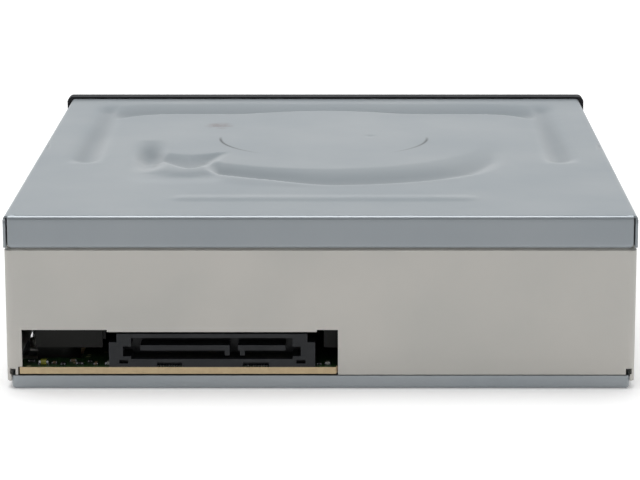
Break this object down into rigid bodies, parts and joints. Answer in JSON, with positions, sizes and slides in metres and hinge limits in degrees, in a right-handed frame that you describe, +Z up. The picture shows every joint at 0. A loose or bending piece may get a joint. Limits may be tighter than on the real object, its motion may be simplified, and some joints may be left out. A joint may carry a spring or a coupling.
{
  "type": "internal dvd writer",
  "caption": "Half-height internal optical disc writer for a drive bay: pressed steel lid, folded chassis, sliding disc tray, front panel and serial power and data socket.",
  "frame": {"origin": "on the underside, at the middle of the width and of the overall depth", "axes": "+Z up out of the lid, +Y towards the rear socket, -Y out of the front panel, X across"},
  "size_m": [0.1488, 0.1706, 0.0416],
  "materials": {
    "lid_steel": "satin galvanised sheet, cool grey",
    "chassis_steel": "satin galvanised sheet, warm grey",
    "screw_steel": "zinc plated",
    "rod_steel": "ground and polished",
    "black_plastic": "fine matt grain",
    "loader_plastic": "moulded, dark grey",
    "gear_plastic": "natural acetal",
    "socket_plastic": "glass-filled, black",
    "lamp_plastic": "clear light guide",
    "board_laminate": "solder mask on laminate, tan cut edge",
    "chip_epoxy": "moulded epoxy",
    "contact_metal": "gold plated",
    "motor_steel": "drawn can",
    "damper_rubber": "soft",
    "pad_rubber": "smooth",
    "sled_metal": "die cast",
    "lens_glass": "coated lens",
    "magnet_alloy": "sintered, nickel plated"
  },
  "bodies": {
    "housing": {"top_cover": "lid_steel", "chassis_frame": "chassis_steel", "bottom_cover": "lid_steel", "cover_screws": "screw_steel", "bezel": "black_plastic", "lamp_guide": "lamp_plastic", "switch_board": "board_laminate", "eject_switch": "chip_epoxy", "status_led": "lamp_plastic", "loader_frame": "loader_plastic", "loading_motor": "motor_steel", "drive_belt": "damper_rubber", "clamp_bridge": "chassis_steel", "main_board": "board_laminate", "board_screws": "screw_steel", "sata_socket": "socket_plastic", "power_contacts": "contact_metal", "signal_contacts": "contact_metal", "controller_chip": "chip_epoxy", "driver_chip": "chip_epoxy", "memory_chip": "chip_epoxy", "board_capacitors": "motor_steel", "board_passives": "chip_epoxy", "cable_sockets": "gear_plastic"},
    "tray": {"disc_tray": "black_plastic", "tray_door": "black_plastic"},
    "button": {"eject_button": "black_plastic"},
    "drive_gear": {"drive_gear": "gear_plastic"},
    "pulley_gear": {"pulley_gear": "gear_plastic"},
    "motor_pulley": {"motor_pulley": "gear_plastic", "motor_shaft": "rod_steel"},
    "cam_slider": {"cam_slider": "gear_plastic"},
    "lift": {"lift_frame": "loader_plastic", "dampers": "damper_rubber", "damper_screws": "screw_steel", "traverse_plate": "chassis_steel", "spindle_stator": "chassis_steel", "guide_rods": "rod_steel", "rod_clamps": "black_plastic", "screw_bracket": "chassis_steel", "sled_motor": "motor_steel"},
    "spindle": {"spindle_rotor": "motor_steel", "turntable": "black_plastic", "turntable_pad": "pad_rubber"},
    "lead_screw": {"lead_screw": "rod_steel"},
    "sled": {"pickup_sled": "sled_metal", "sled_nut": "gear_plastic", "lens_yoke": "motor_steel", "lens_magnets": "magnet_alloy"},
    "lens": {"lens_holder": "black_plastic", "objective_lens": "lens_glass"},
    "clamp": {"clamp_puck": "black_plastic", "clamp_magnet": "magnet_alloy", "magnet_plate": "motor_steel"}
  },
  "joints": [
    {"name": "tray_slide", "type": "slide", "parent": "housing", "child": "tray", "axis": [0, -1, 0], "range_m": [0, 0.132]},
    {"name": "button_press", "type": "slide", "parent": "housing", "child": "button", "axis": [0, 1, 0], "range_m": [0, 0.0012], "stiffness_N_per_m": 400},
    {"name": "drive_gear_spin", "type": "hinge", "parent": "housing", "child": "drive_gear", "pos_m": [-0.049, -0.066, 0.0205], "axis": [0, 0, 1], "continuous": true},
    {"name": "pulley_gear_spin", "type": "hinge", "parent": "housing", "child": "pulley_gear", "pos_m": [-0.0346, -0.066, 0.0185], "axis": [0, 0, 1], "continuous": true},
    {"name": "motor_pulley_spin", "type": "hinge", "parent": "housing", "child": "motor_pulley", "pos_m": [0.002, -0.07, 0.0173], "axis": [0, 0, 1], "continuous": true},
    {"name": "cam_slide", "type": "slide", "parent": "housing", "child": "cam_slider", "axis": [1, 0, 0], "range_m": [0, 0.022]},
    {"name": "lift_tilt", "type": "hinge", "parent": "housing", "child": "lift", "pos_m": [0, 0.07, 0.0145], "axis": [-1, 0, 0], "range_deg": [0, 6]},
    {"name": "spindle_spin", "type": "hinge", "parent": "lift", "child": "spindle", "pos_m": [0, -0.01744, 0.01888], "axis": [0, -0.1045, 0.9945], "continuous": true},
    {"name": "lead_screw_spin", "type": "hinge", "parent": "lift", "child": "lead_screw", "pos_m": [-0.0325, 0.0296, 0.01619], "axis": [0, 0.9945, 0.1045], "continuous": true},
    {"name": "sled_slide", "type": "slide", "parent": "lift", "child": "sled", "axis": [0, 0.9945, 0.1045], "range_m": [0, 0.034]},
    {"name": "lens_focus", "type": "slide", "parent": "sled", "child": "lens", "axis": [0, -0.1045, 0.9945], "range_m": [-0.0004, 0.0004], "stiffness_N_per_m": 40},
    {"name": "clamp_spin", "type": "hinge", "parent": "housing", "child": "clamp", "pos_m": [0, -0.0165, 0.0345], "axis": [0, 0, 1], "continuous": true}
  ],
  "couplings": [
    {"joint": "drive_gear_spin", "follows": "tray_slide", "rad_per_m": 125},
    {"joint": "pulley_gear_spin", "follows": "tray_slide", "rad_per_m": -303.57},
    {"joint": "motor_pulley_spin", "follows": "tray_slide", "rad_per_m": -851.19},
    {"joint": "lift_tilt", "follows": "cam_slide", "rad_per_m": 4.76},
    {"joint": "lead_screw_spin", "follows": "sled_slide", "rad_per_m": 2094.4}
  ]
}
